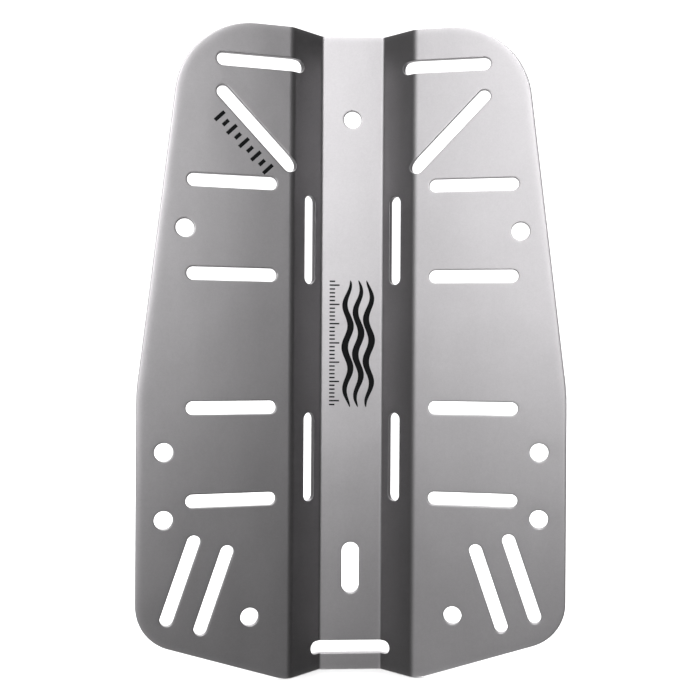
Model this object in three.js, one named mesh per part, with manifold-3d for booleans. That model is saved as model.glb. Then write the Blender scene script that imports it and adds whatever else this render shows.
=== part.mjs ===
// Diving backplate: one titanium sheet, pierced while flat and folded along four bend lines.
// Millimetres. +Z points to the diver's head, -Y to the diver's back and +Y to the tank.
// The origin lies on the tank-side face, midway between the two tank bolts.

import * as THREE from 'three';
import { mergeVertices } from 'three/addons/utils/BufferGeometryUtils.js';
import Module from 'manifold-3d';

const wasm = await Module();
wasm.setup();

const degrees = THREE.MathUtils.degToRad;

// Sheet and folded section, from the centre line outwards.
const SHEET_THICKNESS = 3;
const CENTRE_STRIP_WIDTH = 36;
const INNER_BEND_RADIUS = 3;
const INNER_BEND_ANGLE = degrees(40);
const SIDE_WALL_WIDTH = 19.8;
const OUTER_BEND_RADIUS = 6;
const FLANGE_TILT = degrees(12);
const FLANGE_WIDTH = 89;

// Tank bolts, with the plate's edges measured from them.
const BOLT_SPACING = 279.4;
const BOLT_HOLE_DIAMETER = 11;
const BOLT_SLOT_LENGTH = 32;
const EDGE_BELOW_BOLT_SLOT = 63.2;
const EDGE_ABOVE_BOLT_HOLE = 51.7;

// Outline of the flat blank.
const SIDE_KNEE_HEIGHT = 173;
const SIDE_SLANT = degrees(6.8);
const KNEE_RADIUS = 120;
const TOP_CORNER_RADIUS = 48;
const TOE_START_BEYOND_BEND = 2.6;
const TOE_SLOPE = degrees(19);
const TOE_START_RADIUS = 30;
const BOTTOM_CORNER_RADIUS = 28;

// Webbing slots. Those of the upper half are placed from the top edge, the rest from the bottom.
const SLOT_LENGTH = 53.5;
const SLOT_WIDTH = 8;
const TOP_SLOT_DROP = 22.9;
const TOP_SLOT_BEYOND_BEND = 16.9;
const FLANGE_SLOT_BEYOND_BEND = 33.9;
const FLANGE_SLOT_DROPS = [95.4, 150.5];
const FLANGE_SLOT_HEIGHTS = [164.3, 109.4];
const DIAGONAL_SLOT_LENGTH = 65.6;
const DIAGONAL_SLOT_ANGLE = degrees(46);
const DIAGONAL_SLOT_DROP = 63.1;
const DIAGONAL_SLOT_BEYOND_BEND = 19.6;
const WALL_SLOT_LENGTH = 54.5;
const WALL_SLOT_BEYOND_BEND = 8.1;
const WALL_SLOT_DROP = 127.6;
const WALL_SLOT_HEIGHT = 133.1;
const CROTCH_SLOT_HEIGHT = 14;

// Slots and holes set out along the sloping toe edge, inwards from its outer corner.
const TOE_SLOT_LENGTH = 55.2;
const TOE_SLOT_INSETS = [13.4, 34.1];
const TOE_SLOT_RISE = 39.8;
const TOE_HOLE_INSET = 59.9;
const TOE_HOLE_RISE = 30.4;

// Holes along the side edges.
const EDGE_HOLE_DIAMETER = 11;
const EDGE_HOLE_INSET = 15.8;
const EDGE_HOLE_DROP = 123.9;
const EDGE_HOLE_HEIGHTS = [138.6, 98.9];

// Fineness of the model.
const INNER_BEND_FACETS = 4;
const OUTER_BEND_FACETS = 3;
const ARC_SEGMENTS = 5;
const MERGE_DISTANCE = 1e-4;
const ON_LINE = 1e-3;

// The folded section's middle line as nodes: distance across the flat blank, position and slope.
function foldNodes() {
  const nodes = [{ across: 0, x: 0, y: -SHEET_THICKNESS / 2, slope: 0 }];
  const addFlat = (width) => {
    const last = nodes.at(-1);
    nodes.push({
      across: last.across + width,
      x: last.x + width * Math.cos(last.slope),
      y: last.y - width * Math.sin(last.slope),
      slope: last.slope,
    });
  };
  const addBend = (insideRadius, turn, facets) => {
    const first = nodes.at(-1);
    const radius = insideRadius + SHEET_THICKNESS / 2;
    for (let facet = 1; facet <= facets; facet += 1) {
      const turned = (turn * facet) / facets;
      const slope = first.slope + turned;
      nodes.push({
        across: first.across + radius * Math.abs(turned),
        x: first.x + Math.sign(turn) * radius * (Math.sin(slope) - Math.sin(first.slope)),
        y: first.y + Math.sign(turn) * radius * (Math.cos(slope) - Math.cos(first.slope)),
        slope,
      });
    }
  };
  addFlat(CENTRE_STRIP_WIDTH / 2);
  addBend(INNER_BEND_RADIUS, INNER_BEND_ANGLE, INNER_BEND_FACETS);
  addFlat(SIDE_WALL_WIDTH);
  addBend(OUTER_BEND_RADIUS, FLANGE_TILT - INNER_BEND_ANGLE, OUTER_BEND_FACETS);
  addFlat(FLANGE_WIDTH);
  return nodes;
}

const NODES = foldNodes();
const BLANK_HALF_WIDTH = NODES.at(-1).across;
const FLANGE_START = BLANK_HALF_WIDTH - FLANGE_WIDTH;
const WALL_START = NODES[1 + INNER_BEND_FACETS].across;

// Heights are measured up the blank from its bottom edge.
const BOLT_HOLE_HEIGHT = EDGE_BELOW_BOLT_SLOT + BOLT_SPACING;
const PLATE_HEIGHT = BOLT_HOLE_HEIGHT + EDGE_ABOVE_BOLT_HOLE;
const ORIGIN_HEIGHT = EDGE_BELOW_BOLT_SLOT + BOLT_SPACING / 2;
const TOE_START = FLANGE_START + TOE_START_BEYOND_BEND;
const TOE_RUN = BLANK_HALF_WIDTH - TOE_START;
const TOE_RISE = TOE_RUN * Math.tan(TOE_SLOPE);

// How far out the side edge lies at a height above the knee or below it.
function sideEdge(height) {
  return BLANK_HALF_WIDTH - Math.max(0, height - SIDE_KNEE_HEIGHT) * Math.tan(SIDE_SLANT);
}

// A convex outline, anticlockwise, with each corner rounded to its own radius.
function roundedShape(corners) {
  const shape = new THREE.Shape();
  corners.forEach((corner, index) => {
    const before = corners.at(index - 1);
    const after = corners[(index + 1) % corners.length];
    const heading = Math.atan2(corner.height - before.height, corner.across - before.across);
    const leaving = Math.atan2(after.height - corner.height, after.across - corner.across);
    const turn = (leaving - heading + 2 * Math.PI) % (2 * Math.PI);
    const run = corner.radius * Math.tan(turn / 2);
    const startAcross = corner.across - run * Math.cos(heading);
    const startHeight = corner.height - run * Math.sin(heading);
    const centreAcross = startAcross - corner.radius * Math.sin(heading);
    const centreHeight = startHeight + corner.radius * Math.cos(heading);
    const from = heading - Math.PI / 2;
    shape.absarc(centreAcross, centreHeight, corner.radius, from, from + turn, false);
  });
  shape.closePath();
  return shape;
}

function blankOutline() {
  const right = [
    { across: TOE_START, height: 0, radius: TOE_START_RADIUS },
    { across: BLANK_HALF_WIDTH, height: TOE_RISE, radius: BOTTOM_CORNER_RADIUS },
    { across: BLANK_HALF_WIDTH, height: SIDE_KNEE_HEIGHT, radius: KNEE_RADIUS },
    { across: sideEdge(PLATE_HEIGHT), height: PLATE_HEIGHT, radius: TOP_CORNER_RADIUS },
  ];
  const left = right.map((corner) => ({ ...corner, across: -corner.across })).reverse();
  return roundedShape([...right, ...left]);
}

// A slot with round ends. Its length is the overall one, so a round hole is as long as it is wide.
function slot(across, height, length, width, angle = 0) {
  const reach = (length - width) / 2;
  const stepAcross = reach * Math.cos(angle);
  const stepHeight = reach * Math.sin(angle);
  const quarter = Math.PI / 2;
  const radius = width / 2;
  const path = new THREE.Path();
  path.absarc(across + stepAcross, height + stepHeight, radius, angle - quarter, angle + quarter);
  path.absarc(across - stepAcross, height - stepHeight, radius, angle + quarter, angle + 3 * quarter);
  path.closePath();
  return path;
}

function slotPair(across, height, length, width, angle = 0) {
  return [
    slot(across, height, length, width, angle),
    slot(-across, height, length, width, Math.PI - angle),
  ];
}

function holePair(across, height) {
  return slotPair(across, height, EDGE_HOLE_DIAMETER, EDGE_HOLE_DIAMETER);
}

// A point set out from the toe edge: inset along it from its outer corner, rise square to it.
function fromToe(inset, rise) {
  return {
    across: BLANK_HALF_WIDTH - inset * Math.cos(TOE_SLOPE) - rise * Math.sin(TOE_SLOPE),
    height: TOE_RISE - inset * Math.sin(TOE_SLOPE) + rise * Math.cos(TOE_SLOPE),
  };
}

function boltOpenings() {
  return [
    slot(0, BOLT_HOLE_HEIGHT, BOLT_HOLE_DIAMETER, BOLT_HOLE_DIAMETER),
    slot(0, EDGE_BELOW_BOLT_SLOT, BOLT_SLOT_LENGTH, BOLT_HOLE_DIAMETER, Math.PI / 2),
  ];
}

function webbingSlots() {
  const flangeHeights = [
    ...FLANGE_SLOT_DROPS.map((drop) => PLATE_HEIGHT - drop),
    ...FLANGE_SLOT_HEIGHTS,
  ];
  const flangeAcross = FLANGE_START + FLANGE_SLOT_BEYOND_BEND;
  const wallAcross = WALL_START + WALL_SLOT_BEYOND_BEND;
  const upright = Math.PI / 2;
  return [
    slot(0, CROTCH_SLOT_HEIGHT, SLOT_LENGTH, SLOT_WIDTH),
    ...slotPair(
      FLANGE_START + TOP_SLOT_BEYOND_BEND,
      PLATE_HEIGHT - TOP_SLOT_DROP,
      SLOT_LENGTH,
      SLOT_WIDTH,
    ),
    ...slotPair(
      FLANGE_START + DIAGONAL_SLOT_BEYOND_BEND,
      PLATE_HEIGHT - DIAGONAL_SLOT_DROP,
      DIAGONAL_SLOT_LENGTH,
      SLOT_WIDTH,
      DIAGONAL_SLOT_ANGLE,
    ),
    ...flangeHeights.flatMap((height) => slotPair(flangeAcross, height, SLOT_LENGTH, SLOT_WIDTH)),
    ...[PLATE_HEIGHT - WALL_SLOT_DROP, WALL_SLOT_HEIGHT].flatMap((height) => (
      slotPair(wallAcross, height, WALL_SLOT_LENGTH, SLOT_WIDTH, upright)
    )),
    ...TOE_SLOT_INSETS.flatMap((inset) => {
      const centre = fromToe(inset, TOE_SLOT_RISE);
      return slotPair(centre.across, centre.height, TOE_SLOT_LENGTH, SLOT_WIDTH, TOE_SLOPE + upright);
    }),
  ];
}

function edgeHoles() {
  const heights = [PLATE_HEIGHT - EDGE_HOLE_DROP, ...EDGE_HOLE_HEIGHTS];
  const toeHole = fromToe(TOE_HOLE_INSET, TOE_HOLE_RISE);
  return [
    ...heights.flatMap((height) => holePair(sideEdge(height) - EDGE_HOLE_INSET, height)),
    ...holePair(toeHole.across, toeHole.height),
  ];
}

// A closed geometry as a solid that can be cut.
function solidOf(geometry) {
  geometry.deleteAttribute('normal');
  geometry.deleteAttribute('uv');
  const merged = mergeVertices(geometry, MERGE_DISTANCE);
  return new wasm.Manifold(new wasm.Mesh({
    numProp: 3,
    vertProperties: Float32Array.from(merged.getAttribute('position').array),
    triVerts: Uint32Array.from(merged.getIndex().array),
  }));
}

// The flat blank. X runs across it, Y up it and Z through its thickness.
function blank() {
  const outline = blankOutline();
  outline.holes = [...boltOpenings(), ...webbingSlots(), ...edgeHoles()];
  return solidOf(new THREE.ExtrudeGeometry(outline, {
    depth: SHEET_THICKNESS,
    bevelEnabled: false,
    curveSegments: ARC_SEGMENTS,
  }));
}

// The triangles of the strip of blank between two lines across it, without its two cut faces.
function stripTriangles(sheet, from, to) {
  const box = new THREE.BoxGeometry(to - from, 2 * PLATE_HEIGHT, 2 * SHEET_THICKNESS);
  box.translate((from + to) / 2, PLATE_HEIGHT / 2, SHEET_THICKNESS / 2);
  const strip = sheet.intersect(solidOf(box)).getMesh();
  const snapped = (across) => [from, to].find((line) => Math.abs(across - line) < ON_LINE) ?? across;
  const triangles = [];
  for (let start = 0; start < strip.triVerts.length; start += 3) {
    const triangle = Array.from(strip.triVerts.slice(start, start + 3), (index) => {
      const [across, height, through] = strip.vertProperties.slice(3 * index, 3 * index + 3);
      return new THREE.Vector3(snapped(across), height, through);
    });
    if (![from, to].some((line) => triangle.every(({ x }) => x === line))) {
      triangles.push(triangle);
    }
  }
  return triangles;
}

// Splits the edges on bend lines wherever a neighbouring strip has a corner, so that both match.
function stitched(triangles, lines) {
  const corners = new Map(lines.map((line) => [line, []]));
  triangles.flat().forEach((point) => corners.get(point.x)?.push(point));
  return triangles.flatMap((triangle) => {
    const isCut = ({ x }, index) => corners.has(x) && triangle[(index + 1) % 3].x === x;
    const start = triangle.findIndex(isCut);
    if (start < 0) {
      return [triangle];
    }
    const [from, to, apex] = [0, 1, 2].map((step) => triangle[(start + step) % 3]);
    const edge = new THREE.Line3(from, to);
    const share = (point) => edge.closestPointToPointParameter(point, false);
    const nearest = (point) => edge.closestPointToPoint(point, true, new THREE.Vector3());
    const isOnEdge = (point) => nearest(point).distanceTo(point) < MERGE_DISTANCE;
    const chain = [from];
    const candidates = corners.get(from.x).filter(isOnEdge).sort((a, b) => share(a) - share(b));
    [...candidates, to].forEach((point) => {
      if (point.distanceTo(chain.at(-1)) > MERGE_DISTANCE) {
        chain.push(point);
      }
    });
    return chain.slice(1).map((point, index) => [chain[index], point, apex]);
  });
}

// Moves a point of the flat blank to its place on the folded plate.
function folded(point) {
  const across = Math.min(Math.abs(point.x), BLANK_HALF_WIDTH);
  const end = Math.max(1, NODES.findIndex((node) => node.across >= across));
  const [from, to] = [NODES[end - 1], NODES[end]];
  const share = (across - from.across) / (to.across - from.across);
  const blend = (value) => THREE.MathUtils.lerp(value(from), value(to), share);
  const height = point.z - SHEET_THICKNESS / 2;
  const x = blend((node) => node.x - height * Math.sin(node.slope));
  const y = blend((node) => node.y - height * Math.cos(node.slope));
  return new THREE.Vector3(Math.sign(point.x) * x, y, point.y - ORIGIN_HEIGHT);
}

function backplateGeometry() {
  const right = NODES.slice(1, -1).map((node) => node.across);
  const left = right.map((across) => -across).reverse();
  const bends = [...left, ...right];
  const outside = BLANK_HALF_WIDTH + SHEET_THICKNESS;
  const lines = [-outside, ...bends, outside];
  const sheet = blank();
  const strips = lines.slice(1).flatMap((line, index) => stripTriangles(sheet, lines[index], line));
  const points = stitched(strips, bends).flat().map(folded);
  const geometry = mergeVertices(new THREE.BufferGeometry().setFromPoints(points), MERGE_DISTANCE);
  geometry.computeVertexNormals();
  return geometry;
}

function backplate() {
  const titanium = new THREE.MeshStandardMaterial({ color: 0xa5a2a5, roughness: 0.45, metalness: 1 });
  const mesh = new THREE.Mesh(backplateGeometry(), titanium);
  mesh.name = 'backplate';
  return mesh;
}

const model = new THREE.Group();
model.add(backplate());

export default model;
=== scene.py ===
from math import atan2, cos, pi, radians, sin, tan

import bmesh
import bpy
from bpy.props import FloatProperty, FloatVectorProperty, IntProperty, PointerProperty
from mathutils import Matrix, Vector
from mathutils.geometry import intersect_point_line


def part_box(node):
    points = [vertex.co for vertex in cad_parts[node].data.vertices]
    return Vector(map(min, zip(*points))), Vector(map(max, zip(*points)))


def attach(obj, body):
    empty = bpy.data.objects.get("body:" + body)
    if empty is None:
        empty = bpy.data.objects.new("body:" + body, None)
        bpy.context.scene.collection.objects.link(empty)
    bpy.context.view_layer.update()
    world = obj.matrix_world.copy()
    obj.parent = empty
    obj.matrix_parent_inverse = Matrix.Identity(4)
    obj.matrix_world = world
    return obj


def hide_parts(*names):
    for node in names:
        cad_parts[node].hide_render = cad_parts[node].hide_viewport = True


bl_info = {
    "name": "Diving Backplate",
    "version": (1, 0, 0),
    "blender": (4, 5, 0),
    "location": "3D View > Sidebar > Backplate",
    "description": "Cuts, folds and finishes a titanium diving backplate in a pale studio",
    "category": "Add Mesh",
}

# In metres: +Z to the diver's head, -Y to the diver's back, +Y to the tank.
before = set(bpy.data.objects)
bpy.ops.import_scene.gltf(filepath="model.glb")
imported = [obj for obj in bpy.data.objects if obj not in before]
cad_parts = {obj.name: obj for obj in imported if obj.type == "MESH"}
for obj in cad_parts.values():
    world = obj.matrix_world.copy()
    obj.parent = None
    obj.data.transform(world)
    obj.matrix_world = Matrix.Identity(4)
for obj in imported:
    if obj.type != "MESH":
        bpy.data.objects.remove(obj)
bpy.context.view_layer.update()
PLATE_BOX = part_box("backplate")

ON_LINE = 1e-6
ON_CUT = 1e-7
QUARTER = pi / 2


def length(name, default, description):
    return FloatProperty(
        name=name, description=description, default=default, min=0, unit="LENGTH", precision=4
    )


def angle(name, degrees, description):
    return FloatProperty(
        name=name, description=description, default=radians(degrees), unit="ROTATION"
    )


def colour(name, value, description):
    return FloatVectorProperty(
        name=name, description=description, default=value, subtype="COLOR", min=0, max=1
    )


def share(name, default, description):
    return FloatProperty(name=name, description=description, default=default, min=0)


def radiances(name, rows, place):
    return FloatVectorProperty(
        name=name,
        description=f"{place}: their radiance from the top row down",
        default=rows,
        size=len(rows),
        min=0,
    )


class FoldSizes(bpy.types.PropertyGroup):
    """The folded section, from the centre line outwards"""

    thickness: length("Sheet thickness", 0.003, "Thickness of the titanium sheet")
    strip: length("Centre strip", 0.036, "Width of the flat strip that lies on the tank")
    inner_radius: length("Inner bend radius", 0.003, "Inside radius beside the centre strip")
    inner_angle: angle("Inner bend", 40, "How far each wall turns away from the centre strip")
    wall: length("Wall width", 0.0198, "Width of the flat wall between the two bends")
    outer_radius: length("Outer bend radius", 0.006, "Inside radius between wall and flange")
    tilt: angle("Flange tilt", 12, "Angle left between each flange and the centre strip")
    flange: length("Flange width", 0.089, "Width of the flat flange at its widest")
    steps: IntProperty(name="Bend steps", description="Facets round each bend", default=10, min=2)
    edge_round: length("Edge rounding", 0.0003, "Radius left on every edge by deburring")
    roll_width: length("Edge roll width", 0.006, "Width of the outer edge's gentle roll")
    roll_depth: length("Edge roll depth", 0.00022, "How far each face rolls away at that edge")


class OutlineSizes(bpy.types.PropertyGroup):
    """The tank bolts and the outline of the flat blank"""

    bolt_spacing: length("Bolt spacing", 0.2794, "Distance between the two tank bolts")
    below_slot: length("Edge below slot", 0.0632, "Bottom edge to the middle of the bolt slot")
    above_hole: length("Edge above hole", 0.0517, "Upper bolt hole to the top edge")
    knee_height: length("Knee height", 0.173, "Where the side edge starts to lean inwards")
    side_slant: angle("Side slant", 6.8, "How far the upper side edge leans inwards")
    knee_radius: length("Knee radius", 0.12, "Rounding where the side edge starts to lean")
    top_radius: length("Top corner radius", 0.048, "Rounding of the two top corners")
    toe_start: length("Toe start", 0.0026, "Outer bend to where the bottom edge starts to rise")
    toe_slope: angle("Toe slope", 19, "Rise of the bottom edge towards the side")
    toe_radius: length("Toe start radius", 0.03, "Rounding where the bottom edge starts to rise")
    bottom_radius: length("Bottom corner radius", 0.028, "Rounding of the two bottom corners")


class OpeningSizes(bpy.types.PropertyGroup):
    """The holes and webbing slots, placed from the edges and bends of the flat blank"""

    bolt_hole: length("Bolt hole", 0.011, "Diameter of the tank bolt hole, width of its slot")
    bolt_slot: length("Bolt slot length", 0.032, "Overall length of the lower bolt slot")
    slot: length("Slot length", 0.0535, "Overall length of a level webbing slot")
    slot_width: length("Slot width", 0.008, "Width of every webbing slot")
    top_drop: length("Top slot drop", 0.0229, "Top edge to the top slots")
    top_beyond: length("Top slot place", 0.0169, "Outer bend to the middle of the top slots")
    flange_beyond: length("Flange slot place", 0.0339, "Outer bend to the flange slots' middle")
    drop_a: length("First slot drop", 0.0954, "Top edge to the first flange slots")
    drop_b: length("Second slot drop", 0.1505, "Top edge to the second flange slots")
    height_a: length("Third slot height", 0.1643, "Bottom edge to the third flange slots")
    height_b: length("Fourth slot height", 0.1094, "Bottom edge to the fourth flange slots")
    diagonal: length("Diagonal slot length", 0.0656, "Overall length of the diagonal slots")
    diagonal_angle: angle("Diagonal slot angle", 46, "Rise of the diagonal slots outwards")
    diagonal_drop: length("Diagonal slot drop", 0.0631, "Top edge to the diagonal slots' middle")
    diagonal_beyond: length("Diagonal slot place", 0.0196, "Outer bend to their middle")
    wall_slot: length("Wall slot length", 0.0545, "Overall length of the slots in the walls")
    wall_beyond: length("Wall slot place", 0.0081, "Inner bend to the wall slots' middle")
    wall_drop: length("Upper wall slot drop", 0.1276, "Top edge to the upper wall slots")
    wall_height: length("Lower wall slot height", 0.1331, "Bottom edge to the lower wall slots")
    crotch_height: length("Crotch slot height", 0.014, "Bottom edge to the crotch strap's slot")
    toe_slot: length("Toe slot length", 0.0552, "Overall length of the slots above the toe edge")
    toe_inset_a: length("Outer toe slot inset", 0.0134, "Along the toe edge to the outer slot")
    toe_inset_b: length("Inner toe slot inset", 0.0341, "Along the toe edge to the inner slot")
    toe_rise: length("Toe slot rise", 0.0398, "Square to the toe edge to the slots' middle")
    toe_hole_inset: length("Toe hole inset", 0.0599, "Along the toe edge to the toe hole")
    toe_hole_rise: length("Toe hole rise", 0.0304, "Square to the toe edge to the toe hole")
    edge_hole: length("Edge hole", 0.011, "Diameter of the holes along the side edges")
    edge_inset: length("Edge hole inset", 0.0158, "Side edge to the middle of its holes")
    edge_drop: length("Upper edge hole drop", 0.1239, "Top edge to the upper edge holes")
    edge_height_a: length("Middle edge hole height", 0.1386, "Bottom edge to the middle holes")
    edge_height_b: length("Lower edge hole height", 0.0989, "Bottom edge to the lower holes")


class TitaniumLook(bpy.types.PropertyGroup):
    """The blasted titanium and the dark marks burnt into it"""

    metal: colour("Metal", (0.6, 0.585, 0.6), "Reflected colour of the blasted titanium")
    etched: colour("Etched", (0.022, 0.022, 0.023), "Colour of the laser-darkened marks")
    roughness: share("Roughness", 0.4, "Roughness of the blasted face")
    grain: length("Grain", 0.0009, "Size of the blasting grain")
    grain_depth: length("Grain depth", 0.000006, "Height of the blasting grain")
    mottle: length("Mottle", 0.0028, "Size of the fine blotches")
    cloud: length("Cloud", 0.04, "Size of the broad uneven patches")
    streak: length("Streak", 0.02, "Width of the long patches left by rolling")
    warp_depth: length("Warp depth", 0.0003, "Height of the sheet's slow waviness")
    contrast: share("Contrast", 0.16, "How much the blotches change the colour")
    # A painted highlight: how much brighter the colour is painted along the rolled outer edge.
    painted_edge_highlight: share("Highlight", 0.3, "How much brighter the rolled outer edge is painted")
    uneven: share("Uneven gloss", 0.02, "How much the roughness wanders over the face")
    rim_gloss: share("Rim gloss", 0.05, "How much smoother the cut edges are")
    mark_dulling: share("Mark dulling", 0.2, "How much rougher the laser leaves its marks")


class StudioLook(bpy.types.PropertyGroup):
    """The floor, the surroundings and the softboxes"""

    floor: colour("Floor", (0.9, 0.9, 0.9), "Colour of the pale floor")
    floor_gap: length("Floor gap", 0.0003, "Gap between the lowest edge and the floor")
    surround: share("Surround", 1.5, "Brightness of the white surroundings")
    key: radiances("Key", (0.95, 0.26, 0.5), "Panels in front, on the left")
    core: radiances("Key core", (3.4, 0.24, 0.36), "Panels in front, in the middle")
    fill: radiances("Fill", (0.14, 0.1, 0.08), "Panels in front, on the right")
    left: radiances("Left card", (0.03, 0.03), "Dim panels on the left")
    right: radiances("Right card", (0.02, 0.02), "Dim panels on the right")
    left_flank: radiances("Left flank", (0.3, 0.25), "Panels behind the left card")
    right_flank: radiances("Right flank", (0.2, 0.2), "Panels behind the right card")
    back: radiances("Back", (1.1, 0.5), "Panels behind the plate")
    ceiling: share("Ceiling", 1.2, "Radiance of the panel overhead")
    under: share("Under", 0.4, "Radiance of the light that the floor sends back")


class Backplate:
    """Lines and heights worked out from the sizes; heights are measured up the flat blank"""

    def __init__(self, scene):
        self.fold = scene.backplate_fold
        self.outline = scene.backplate_outline
        self.openings = scene.backplate_openings
        fold, outline = self.fold, self.outline
        self.inner_arc = (fold.inner_radius + fold.thickness / 2) * fold.inner_angle
        self.outer_turn = fold.inner_angle - fold.tilt
        self.outer_arc = (fold.outer_radius + fold.thickness / 2) * self.outer_turn
        self.strip_edge = fold.strip / 2
        self.wall_start = self.strip_edge + self.inner_arc
        self.wall_end = self.wall_start + fold.wall
        self.flange_start = self.wall_end + self.outer_arc
        self.half_width = self.flange_start + fold.flange
        self.bolt_hole_height = outline.below_slot + outline.bolt_spacing
        self.height = self.bolt_hole_height + outline.above_hole
        self.origin_height = outline.below_slot + outline.bolt_spacing / 2
        self.toe_start = self.flange_start + outline.toe_start
        self.toe_corner = (self.half_width - self.toe_start) * tan(outline.toe_slope)

    def side_edge(self, height):
        lean = max(0, height - self.outline.knee_height) * tan(self.outline.side_slant)
        return self.half_width - lean

    def from_toe(self, inset, rise):
        """A point set out from the toe edge: inset runs along it from its outer corner."""
        slope = self.outline.toe_slope
        across = self.half_width - inset * cos(slope) - rise * sin(slope)
        return across, self.toe_corner - inset * sin(slope) + rise * cos(slope)

    def corners(self):
        """The right half's corners as (across, height, radius), from the bottom up."""
        outline = self.outline
        return [
            (self.toe_start, 0, outline.toe_radius),
            (self.half_width, self.toe_corner, outline.bottom_radius),
            (self.half_width, outline.knee_height, outline.knee_radius),
            (self.side_edge(self.height), self.height, outline.top_radius),
        ]

    def paired_openings(self):
        """The right-hand openings as (across, height, overall length, width, turn)."""
        o = self.openings
        flange = self.flange_start + o.flange_beyond
        wall = self.wall_start + o.wall_beyond
        top = self.height
        toe_angle = self.outline.toe_slope + QUARTER
        made = [(self.flange_start + o.top_beyond, top - o.top_drop, o.slot, o.slot_width, 0)]
        for height in (top - o.drop_a, top - o.drop_b, o.height_a, o.height_b):
            made.append((flange, height, o.slot, o.slot_width, 0))
        for height in (top - o.wall_drop, o.wall_height):
            made.append((wall, height, o.wall_slot, o.slot_width, QUARTER))
        across, height = self.flange_start + o.diagonal_beyond, top - o.diagonal_drop
        made.append((across, height, o.diagonal, o.slot_width, o.diagonal_angle))
        for inset in (o.toe_inset_a, o.toe_inset_b):
            across, height = self.from_toe(inset, o.toe_rise)
            made.append((across, height, o.toe_slot, o.slot_width, toe_angle))
        for height in (top - o.edge_drop, o.edge_height_a, o.edge_height_b):
            across = self.side_edge(height) - o.edge_inset
            made.append((across, height, o.edge_hole, o.edge_hole, 0))
        across, height = self.from_toe(o.toe_hole_inset, o.toe_hole_rise)
        made.append((across, height, o.edge_hole, o.edge_hole, 0))
        return made

    def middle_openings(self):
        """The openings on the centre line, set out in the same way."""
        o = self.openings
        return [
            (0, self.bolt_hole_height, o.bolt_hole, o.bolt_hole, 0),
            (0, self.outline.below_slot, o.bolt_slot, o.bolt_hole, QUARTER),
            (0, o.crotch_height, o.slot, o.slot_width, 0),
        ]

    def creases(self):
        """The creases of the right half as (across, turn), from the centre outwards."""
        fold = self.fold
        made = []
        bends = (
            (self.strip_edge, self.inner_arc, fold.inner_angle),
            (self.wall_end, self.outer_arc, -self.outer_turn),
        )
        for start, arc, turn in bends:
            for step in range(fold.steps + 1):
                part = 0.5 if step in (0, fold.steps) else 1
                made.append((start + arc * step / fold.steps, part * turn / fold.steps))
        return made


# ---- Sheet ----

ARC_STEP = radians(4)
OPENING_SEGMENTS = 48
# A ring of faces this wide keeps the shading even round every opening.
RIM_WIDTH = 0.0011
# The widths of the roll's rings, as shares of its own, and how steeply it falls away.
ROLL_RINGS = (0.18, 0.17, 0.18, 0.22, 0.25)
ROLL_POWER = 3
ROUND_SEGMENTS = 3
# An edge sharper than this is rounded, where it lies on a face that is nearly level.
SHARP_ANGLE = radians(60)
LEVEL = cos(radians(14))
# The sheet is also cut this far beside each bend, so that the flats stay flat.
CREASE_MARGIN = 0.0005


def add_outline(bm, plate):
    """Draws the right half of the outline as arcs joined by straight edges."""
    corners = plate.corners()
    before = (0, corners[0][1])
    last = bm.verts.new((0, 0, 0))
    for index, (across, height, radius) in enumerate(corners):
        after = corners[index + 1] if index + 1 < len(corners) else (0, height)
        heading = atan2(height - before[1], across - before[0])
        leaving = atan2(after[1] - height, after[0] - across)
        turn = leaving - heading
        run = radius * tan(turn / 2)
        start = Vector((across - run * cos(heading), height - run * sin(heading), 0))
        centre = start + radius * Vector((-sin(heading), cos(heading), 0))
        first = bm.verts.new(start)
        bm.edges.new((last, first))
        arc = bmesh.ops.spin(
            bm,
            geom=[first],
            cent=centre,
            axis=(0, 0, 1),
            angle=turn,
            steps=max(3, round(turn / ARC_STEP)),
        )
        last = next(item for item in arc["geom_last"] if isinstance(item, bmesh.types.BMVert))
        before = (across, height)
    bm.edges.new((last, bm.verts.new((0, plate.height, 0))))


def add_opening(bm, across, height, overall, width, turn):
    """Draws a slot with round ends, or a hole where its overall length is its width."""
    half_step = pi / OPENING_SEGMENTS
    ring = bmesh.ops.create_circle(
        bm,
        cap_ends=False,
        radius=width / 2,
        segments=OPENING_SEGMENTS,
        matrix=Matrix.Rotation(half_step, 4, "Z"),
    )["verts"]
    reach = (overall - width) / 2
    for side in (-1, 1):
        end = [vert for vert in ring if side * vert.co.x > 0]
        bmesh.ops.translate(bm, vec=(side * reach, 0, 0), verts=end)
    place = Matrix.Translation((across, height, 0)) @ Matrix.Rotation(turn, 4, "Z")
    bmesh.ops.transform(bm, matrix=place, verts=ring)


def distance_to(outline, point):
    """How far a point of the blank lies from the nearest straight edge of its outline."""
    distances = []
    for start, end in outline:
        along = intersect_point_line(point, start, end)[1]
        nearest = start.lerp(end, min(max(along, 0), 1))
        distances.append((point - nearest).length)
    return min(distances)


def add_border(bm, plate):
    """Fills a border round the blank, notes its roll, and returns its inner loop."""
    add_outline(bm, plate)
    bmesh.ops.mirror(bm, geom=bm.verts[:] + bm.edges[:], axis="X", merge_dist=ON_LINE)
    outline = [tuple(vert.co.copy() for vert in edge.verts) for edge in bm.edges]
    bmesh.ops.triangle_fill(bm, edges=bm.edges[:], use_beauty=True, normal=(0, 0, 1))
    bmesh.ops.recalc_face_normals(bm, faces=bm.faces[:])
    width = plate.fold.roll_width
    middle = bm.faces[:]
    for part in ROLL_RINGS:
        ring = bmesh.ops.inset_region(
            bm, faces=middle, thickness=part * width, use_boundary=True, use_even_offset=True
        )["faces"]
    bmesh.ops.delete(bm, geom=middle, context="FACES")
    roll = bm.verts.layers.float.new("roll")
    for vert in bm.verts:
        vert[roll] = max(0, 1 - distance_to(outline, vert.co) / width) ** ROLL_POWER
    ring = set(ring)
    return [edge for edge in bm.edges if edge.is_boundary and edge.link_faces[0] in ring]


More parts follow.
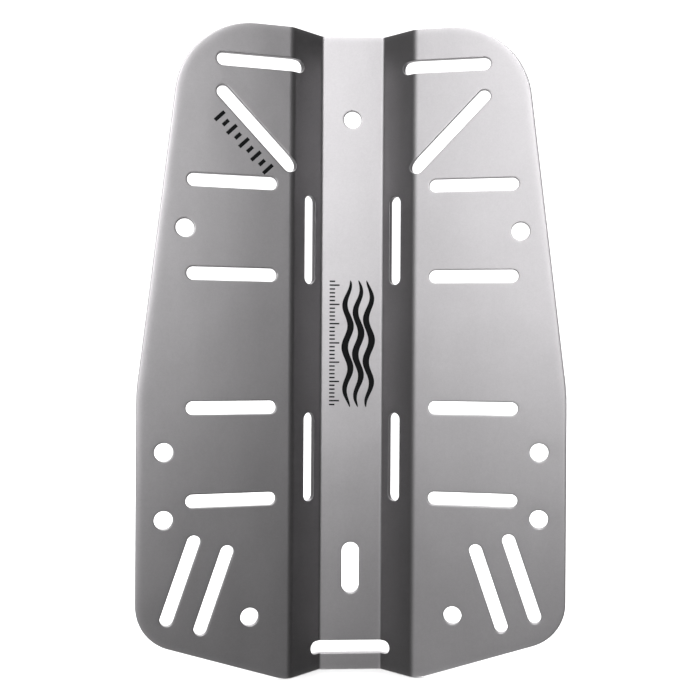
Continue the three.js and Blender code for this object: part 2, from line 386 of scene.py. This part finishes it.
def cut_blank(bm, plate):
    """Makes the flat, pierced blank with rounded edges: X across it, Y up it, Z through it."""
    inner_loop = add_border(bm, plate)
    for opening in plate.paired_openings():
        add_opening(bm, *opening)
    rings = [edge for edge in bm.edges if edge.is_wire]
    verts = [vert for vert in bm.verts if vert.is_wire]
    bmesh.ops.mirror(bm, geom=verts + rings, axis="X", merge_dist=ON_LINE)
    for opening in plate.middle_openings():
        add_opening(bm, *opening)
    rings = [edge for edge in bm.edges if edge.is_wire]
    filled = bmesh.ops.triangle_fill(
        bm, edges=inner_loop + rings, use_beauty=True, normal=(0, 0, 1)
    )["geom"]
    middle = [item for item in filled if isinstance(item, bmesh.types.BMFace)]
    bmesh.ops.recalc_face_normals(bm, faces=bm.faces[:])
    bmesh.ops.inset_region(
        bm, faces=middle, thickness=RIM_WIDTH, use_boundary=True, use_even_offset=True
    )
    lifted = bmesh.ops.extrude_face_region(bm, geom=bm.faces[:])["geom"]
    verts = [item for item in lifted if isinstance(item, bmesh.types.BMVert)]
    bmesh.ops.translate(bm, vec=(0, 0, plate.fold.thickness), verts=verts)
    half = plate.fold.thickness / 2
    roll = bm.verts.layers.float["roll"]
    for vert in bm.verts:
        vert.co.z = half + (vert.co.z - half) * (1 - vert[roll] * plate.fold.roll_depth / half)
    bmesh.ops.recalc_face_normals(bm, faces=bm.faces[:])
    rims = [edge for edge in bm.edges if edge.calc_face_angle(0) > SHARP_ANGLE]
    rims = [edge for edge in rims if any(abs(face.normal.z) > LEVEL for face in edge.link_faces)]
    bmesh.ops.bevel(
        bm,
        geom=rims,
        offset=plate.fold.edge_round,
        offset_type="OFFSET",
        affect="EDGES",
        segments=ROUND_SEGMENTS,
        profile=0.5,
        material=-1,
    )


def cut_creases(bm, plate):
    """Cuts the flat sheet along every crease, and just beside each bend."""
    lines = [across for across, turn in plate.creases()]
    lines += [plate.strip_edge - CREASE_MARGIN, plate.wall_start + CREASE_MARGIN]
    lines += [plate.wall_end - CREASE_MARGIN, plate.flange_start + CREASE_MARGIN]
    for line in lines:
        for side in (-1, 1):
            bmesh.ops.bisect_plane(
                bm,
                geom=bm.verts[:] + bm.edges[:] + bm.faces[:],
                dist=ON_CUT,
                plane_co=(side * line, 0, 0),
                plane_no=(1, 0, 0),
            )


def note_blank(bm):
    """Keeps each corner's place on the flat blank, and how far it belongs to a cut edge."""
    place = bm.verts.layers.float_vector.new("blank")
    rim = bm.verts.layers.float.new("rim")
    bm.normal_update()
    for vert in bm.verts:
        vert[place] = vert.co
        vert[rim] = float(any(abs(face.normal.z) < LEVEL for face in vert.link_faces))


def fold_creases(bm, plate):
    """Folds the sheet crease by crease, from the outside in, about its middle layer."""
    for across, turn in reversed(plate.creases()):
        for side in (-1, 1):
            hinge = (side * across, 0, plate.fold.thickness / 2)
            beyond = [vert for vert in bm.verts if side * vert.co.x - across > ON_LINE]
            on_line = [vert for vert in bm.verts if abs(side * vert.co.x - across) <= ON_LINE]
            for verts, part in ((beyond, 1), (on_line, 0.5)):
                turned = Matrix.Rotation(-side * part * turn, 3, "Y")
                bmesh.ops.rotate(bm, cent=hinge, matrix=turned, verts=verts)


def sheet_mesh(plate):
    """Makes the pierced, rounded and folded sheet, upright and in its place."""
    bm = bmesh.new()
    cut_blank(bm, plate)
    cut_creases(bm, plate)
    note_blank(bm)
    fold_creases(bm, plate)
    upright = Matrix.Translation((0, 0, -plate.origin_height)) @ Matrix.Rotation(QUARTER, 4, "X")
    bmesh.ops.transform(bm, matrix=upright, verts=bm.verts[:])
    bmesh.ops.recalc_face_normals(bm, faces=bm.faces[:])
    if any(not edge.is_manifold for edge in bm.edges):
        raise RuntimeError("the sheet isn't closed")
    for face in bm.faces:
        face.smooth = True
    mesh = bpy.data.meshes.new("backplate_sheet")
    bm.to_mesh(mesh)
    bm.free()
    return mesh


# ---- Materials ----


class Number:
    """A number socket. A sum or product of numbers adds the Math nodes that work it out."""

    def __init__(self, surface, socket):
        self.surface = surface
        self.socket = socket

    def maths(self, operation, *values):
        inputs = dict(enumerate(values))
        return self.surface.add("ShaderNodeMath", {"operation": operation}, inputs)

    def __add__(self, other):
        return self.maths("ADD", self, other)

    def __radd__(self, other):
        return self.maths("ADD", other, self)

    def __sub__(self, other):
        return self.maths("SUBTRACT", self, other)

    def __rsub__(self, other):
        return self.maths("SUBTRACT", other, self)

    def __mul__(self, other):
        return self.maths("MULTIPLY", self, other)

    def __rmul__(self, other):
        return self.maths("MULTIPLY", other, self)

    def __truediv__(self, other):
        return self.maths("DIVIDE", self, other)

    def __abs__(self):
        return self.maths("ABSOLUTE", self)

    def __lt__(self, other):
        return self.maths("LESS_THAN", self, other)

    def __gt__(self, other):
        return self.maths("GREATER_THAN", self, other)

    def __or__(self, other):
        return self.maths("MAXIMUM", self, other)

    def sine(self):
        return self.maths("SINE", self)

    def fraction(self):
        return self.maths("FRACT", self)

    def root(self):
        return self.maths("SQRT", self)


# A noise pattern's own middle value.
NOISE_MEAN = 0.5


class Surface:
    """A material under construction."""

    def __init__(self, name):
        self.material = bpy.data.materials.new(name)
        self.material.use_nodes = True
        self.tree = self.material.node_tree
        self.tree.nodes.clear()

    def add(self, kind, settings, inputs, output=0):
        """Adds a node, sets it up, fills its sockets, and returns one of its outputs."""
        node = self.tree.nodes.new(kind)
        for name, value in settings.items():
            setattr(node, name, value)
        for name, value in inputs.items():
            if isinstance(value, Number):
                self.tree.links.new(value.socket, node.inputs[name])
            else:
                node.inputs[name].default_value = value
        return Number(self, node.outputs[output]) if node.outputs else None

    def noise(self, place, size, detail):
        """A noise pattern of a given size, shifted so that it wanders about zero."""
        inputs = {"Vector": place, "Scale": 1 / size, "Detail": detail}
        return self.add("ShaderNodeTexNoise", {}, inputs) - NOISE_MEAN

    def mix(self, factor, first, second):
        inputs = {0: factor, 6: first, 7: second}
        return self.add("ShaderNodeMix", {"data_type": "RGBA"}, inputs, output=2)

    def finish(self, **inputs):
        inputs = {name.replace("_", " "): value for name, value in inputs.items()}
        shader = self.add("ShaderNodeBsdfPrincipled", {}, inputs)
        self.add("ShaderNodeOutputMaterial", {}, {"Surface": shader})
        return self.material


# The marks' places and sizes on the flat blank: the waves and the scale stand on the centre
# strip, and the dashes beside the left diagonal slot.
WAVE_MIDDLE = 0.0042
WAVE_SPACING = 0.0066
WAVE_SWING = 0.0018
WAVE_LENGTH = 0.0264
WAVE_WIDTH = 0.0042
WAVE_LAG = pi / 3
WAVE_HALF_LENGTH = 0.0395
SCALE_START = -0.0138
SCALE_PITCH = 0.0024
SCALE_GROUP = 5
SCALE_LINE = 0.0009
SCALE_SHORT = 0.0034
SCALE_LONG = 0.0062
DASH_OFFSET = 0.0118
DASH_PITCH = 0.0052
DASH_SHARE = 0.42
DASH_HEIGHT = 0.0078
DASH_SHORTENED = 0.6
DASH_HALF_LENGTH = 0.0235


def wave_marks(across, along):
    """Three tapering waves that run along the centre strip."""
    taper = (1 - (along / WAVE_HALF_LENGTH) * (along / WAVE_HALF_LENGTH)).root()
    waves = []
    for row in (-1, 0, 1):
        swing = (along * (2 * pi / WAVE_LENGTH) + row * WAVE_LAG).sine() * WAVE_SWING
        centre = swing + (WAVE_MIDDLE + row * WAVE_SPACING)
        waves.append(abs(across - centre) < taper * (WAVE_WIDTH / 2))
    return (waves[0] | waves[1] | waves[2]) * (abs(along) < WAVE_HALF_LENGTH)


def scale_marks(across, along):
    """A fine scale of short lines, with the first of each group longer."""
    line = (along / SCALE_PITCH).fraction() < SCALE_LINE / SCALE_PITCH
    first = (along / (SCALE_GROUP * SCALE_PITCH)).fraction() < 1 / SCALE_GROUP
    reach = SCALE_SHORT + first * (SCALE_LONG - SCALE_SHORT)
    inside = (across > SCALE_START) * (across - SCALE_START < reach)
    return line * inside * (abs(along) < WAVE_HALF_LENGTH)


def dash_marks(across, height, plate):
    """A row of dashes beside the left diagonal slot, with every other one shorter."""
    o = plate.openings
    centre_across = -(plate.flange_start + o.diagonal_beyond)
    centre_height = plate.height - o.diagonal_drop
    run, rise = cos(o.diagonal_angle), -sin(o.diagonal_angle)
    dx, dy = across - centre_across, height - centre_height
    along = dx * run + dy * rise
    beside = dy * run - dx * rise + DASH_OFFSET
    dash = (along / DASH_PITCH).fraction() < DASH_SHARE
    full = (along / (2 * DASH_PITCH)).fraction() < 1 / 2
    reach = (DASH_SHORTENED + (1 - DASH_SHORTENED) * full) * (DASH_HEIGHT / 2)
    return dash * (abs(beside) < reach) * (abs(along) < DASH_HALF_LENGTH)


# How far through the sheet, from the tank's side to the diver's, the marked face begins.
MARKED_DEPTH = 0.9


def etched_marks(across, height, through, plate):
    """Where the diver's side is darkened by the laser, from 0 to 1."""
    along = height - plate.origin_height
    marks = wave_marks(across, along) | scale_marks(across, along)
    marks = marks | dash_marks(across, height, plate)
    return marks * (through > plate.fold.thickness * MARKED_DEPTH)


SOFT_DETAIL = 2
FINE_DETAIL = 3
# Up the plate the streaks' pattern runs at this share of its pace across it.
STREAK_PACE = 0.22
# Each pattern's weight in the blotches of the tone, and the streaks' weight in the gloss.
GRAIN_TONE = 0.8
MOTTLE_TONE = 0.5
CLOUD_TONE = 0.6
STREAK_TONE = 0.6
STREAK_GLOSS = 2


def titanium(scene, plate):
    """The blasted finish: blotches and streaks in the tone, grain in the relief, dark marks, and
    a painted highlight along the outer edge.
    """
    look = scene.backplate_titanium
    surface = Surface("blasted_titanium")
    place = surface.add("ShaderNodeTexCoord", {}, {}, output="Object")
    drawn = surface.add(
        "ShaderNodeMapping", {}, {"Vector": place, "Scale": (1, 1, STREAK_PACE)}
    )
    rim = surface.add("ShaderNodeAttribute", {"attribute_name": "rim"}, {}, output="Fac")
    roll = surface.add("ShaderNodeAttribute", {"attribute_name": "roll"}, {}, output="Fac")
    blank = surface.add("ShaderNodeAttribute", {"attribute_name": "blank"}, {}, output="Vector")
    across, height, through = (
        surface.add("ShaderNodeSeparateXYZ", {}, {0: blank}, output=axis) for axis in range(3)
    )
    grain = surface.noise(place, look.grain, SOFT_DETAIL)
    mottle = surface.noise(place, look.mottle, FINE_DETAIL)
    cloud = surface.noise(place, look.cloud, SOFT_DETAIL)
    streak = surface.noise(drawn, look.streak, SOFT_DETAIL)
    marks = etched_marks(across, height, through, plate)
    blotches = GRAIN_TONE * grain + MOTTLE_TONE * mottle + CLOUD_TONE * cloud
    blotches = blotches + STREAK_TONE * streak
    # The roll also paints the colour brighter near the outer edge: a painted highlight for the
    # light that the rounded edge catches.
    tone = 1 + blotches * look.contrast + roll * look.painted_edge_highlight
    bright = surface.add(
        "ShaderNodeVectorMath", {"operation": "SCALE"}, {0: tuple(look.metal), "Scale": tone}
    )
    base = surface.mix(marks, bright, (*look.etched, 1))
    uneven = (grain + mottle + STREAK_GLOSS * streak) * look.uneven
    rough = look.roughness + uneven - rim * look.rim_gloss + marks * look.mark_dulling
    relief = (grain - marks) * look.grain_depth + cloud * look.warp_depth
    bump = surface.add("ShaderNodeBump", {}, {"Strength": 1, "Distance": 1, "Height": relief})
    return surface.finish(Base_Color=base, Roughness=rough, Metallic=1, Normal=bump)


FLOOR_ROUGHNESS = 0.9


def pale_floor(scene):
    surface = Surface("pale_floor")
    base = (*scene.backplate_studio.floor, 1)
    return surface.finish(Base_Color=base, Roughness=FLOOR_ROUGHNESS)


# ---- Operators ----


class BACKPLATE_OT_camera(bpy.types.Operator):
    """Point the camera squarely at the diver's side of the plate"""

    bl_idname = "backplate.camera"
    bl_label = "Camera"

    LENS = 44.53
    SENSOR = 36
    CLIP_START = 0.01
    DISTANCE = 0.54
    AZIMUTH = radians(-2.48)
    ELEVATION = radians(0.08)
    ROLL = radians(0.329)
    AIM = Vector((0, -0.003, -0.00391))
    SIDEWAYS = -0.0009

    def execute(self, context):
        data = bpy.data.cameras.new("camera")
        data.lens = self.LENS
        data.sensor_width = self.SENSOR
        data.clip_start = self.CLIP_START
        camera = bpy.data.objects.new("camera", data)
        context.scene.collection.objects.link(camera)
        back = Vector(
            (
                sin(self.AZIMUTH) * cos(self.ELEVATION),
                -cos(self.AZIMUTH) * cos(self.ELEVATION),
                sin(self.ELEVATION),
            )
        )
        turn = (-back).to_track_quat("-Z", "Y").to_matrix().to_4x4()
        place = Matrix.Translation(self.AIM + back * self.DISTANCE)
        sideways = Matrix.Translation(turn.col[0].to_3d() * self.SIDEWAYS)
        camera.matrix_world = sideways @ place @ turn @ Matrix.Rotation(self.ROLL, 4, "Z")
        context.scene.camera = camera
        return {"FINISHED"}


class BACKPLATE_OT_sheet(bpy.types.Operator):
    """Cut the titanium blank, round its edges, fold it and give it its blasted finish"""

    bl_idname = "backplate.sheet"
    bl_label = "Folded sheet"

    def execute(self, context):
        plate = Backplate(context.scene)
        sheet = bpy.data.objects.new("backplate_sheet", sheet_mesh(plate))
        context.scene.collection.objects.link(sheet)
        sheet.data.materials.append(titanium(context.scene, plate))
        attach(sheet, "root")
        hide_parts("backplate")
        return {"FINISHED"}


class BACKPLATE_OT_studio(bpy.types.Operator):
    """Set up the pale floor, the white surroundings and the softboxes"""

    bl_idname = "backplate.studio"
    bl_label = "Studio"

    # The walls of panels stand this far out. Their rows end at these degrees above and below
    # the plate's middle. A column has its name, its wall's turn from the front, its left and
    # right end in degrees from the middle of that wall, and its rows.
    DISTANCE = 3
    SPAN = 2 * DISTANCE
    ROWS = (62, -4, -32, -60)
    HALVES = (62, 0, -50)
    COLUMNS = (
        ("key", 0, -37, -7, ROWS),
        ("core", 0, -7, 5.6, ROWS),
        ("fill", 0, 5.6, 34, ROWS),
        ("left", -90, -3, 46, HALVES),
        ("left_flank", -90, -45, -3, HALVES),
        ("right", 90, -45, 4, HALVES),
        ("right_flank", 90, 4, 45, HALVES),
        ("back", 180, -45, 45, HALVES),
    )

    FLOOR_REACH = 6

    def execute(self, context):
        look = context.scene.backplate_studio
        self.add_floor(context, look)
        self.add_surround(context, look)
        for name, turn, left, right, rows in self.COLUMNS:
            for radiance, high, low in zip(getattr(look, name), rows, rows[1:]):
                self.add_wall(context, name, radiance, turn, (left, right), (low, high))
        self.add_panel(context, "ceiling", look.ceiling, self.SPAN, self.SPAN, self.level(1))
        self.add_panel(context, "under", look.under, self.SPAN, self.SPAN, self.level(-1))
        context.scene.view_settings.view_transform = "Standard"
        return {"FINISHED"}

    def level(self, side):
        """The place of a level panel that closes the walls above or below, facing inwards."""
        edge, turn = (self.ROWS[0], 0) if side > 0 else (self.ROWS[-1], pi)
        height = self.DISTANCE * tan(radians(edge))
        return Matrix.Translation((0, 0, height)) @ Matrix.Rotation(turn, 4, "X")

    def add_floor(self, context, look):
        bm = bmesh.new()
        bmesh.ops.create_grid(bm, x_segments=2, y_segments=2, size=self.FLOOR_REACH)
        drop = (0, 0, PLATE_BOX[0].z - look.floor_gap)
        bmesh.ops.translate(bm, vec=drop, verts=bm.verts[:])
        mesh = bpy.data.meshes.new("floor")
        bm.to_mesh(mesh)
        bm.free()
        mesh.materials.append(pale_floor(context.scene))
        floor = bpy.data.objects.new("floor", mesh)
        context.scene.collection.objects.link(floor)
        floor.visible_glossy = False
        floor.visible_shadow = False

    def add_surround(self, context, look):
        world = bpy.data.worlds.new("surround")
        world.use_nodes = True
        background = world.node_tree.nodes["Background"]
        background.inputs["Color"].default_value = (1, 1, 1, 1)
        background.inputs["Strength"].default_value = look.surround
        world.cycles_visibility.glossy = False
        context.scene.world = world

    def add_wall(self, context, name, radiance, turn, sides, heights):
        """Adds a panel to the wall at a turn, between angles seen from the plate's middle."""
        left, right = (self.DISTANCE * tan(radians(value)) for value in sides)
        low, high = (self.DISTANCE * tan(radians(value)) for value in heights)
        place = Matrix.Translation(((left + right) / 2, -self.DISTANCE, (low + high) / 2))
        place = Matrix.Rotation(radians(turn), 4, "Z") @ place @ Matrix.Rotation(QUARTER, 4, "X")
        self.add_panel(context, name, radiance, right - left, high - low, place)

    def add_panel(self, context, name, radiance, width, height, place):
        light = bpy.data.lights.new(name, "AREA")
        light.shape = "RECTANGLE"
        light.size = width
        light.size_y = height
        light.energy = radiance * pi * width * height
        panel = bpy.data.objects.new(name, light)
        panel.matrix_world = place
        panel.visible_camera = False
        context.scene.collection.objects.link(panel)


class BACKPLATE_PT_panel(bpy.types.Panel):
    """Lists the steps that make the backplate"""

    bl_idname = "BACKPLATE_PT_panel"
    bl_label = "Diving Backplate"
    bl_space_type = "VIEW_3D"
    bl_region_type = "UI"
    bl_category = "Backplate"

    def draw(self, context):
        for step in STEPS:
            self.layout.operator(step.bl_idname)
        for name in GROUPS:
            settings = getattr(context.scene, name)
            box = self.layout.box()
            for key in settings.bl_rna.properties.keys():
                if key not in ("name", "rna_type"):
                    box.prop(settings, key)


GROUPS = {
    "backplate_fold": FoldSizes,
    "backplate_outline": OutlineSizes,
    "backplate_openings": OpeningSizes,
    "backplate_titanium": TitaniumLook,
    "backplate_studio": StudioLook,
}
STEPS = (BACKPLATE_OT_camera, BACKPLATE_OT_sheet, BACKPLATE_OT_studio)
CLASSES = (*GROUPS.values(), *STEPS, BACKPLATE_PT_panel)


def register():
    for cls in CLASSES:
        bpy.utils.register_class(cls)
    for name, group in GROUPS.items():
        setattr(bpy.types.Scene, name, PointerProperty(type=group))


def unregister():
    for name in GROUPS:
        delattr(bpy.types.Scene, name)
    for cls in reversed(CLASSES):
        bpy.utils.unregister_class(cls)


def main():
    register()
    bpy.ops.backplate.camera()
    bpy.ops.backplate.sheet()
    bpy.ops.backplate.studio()


if __name__ == "__main__":
    main()
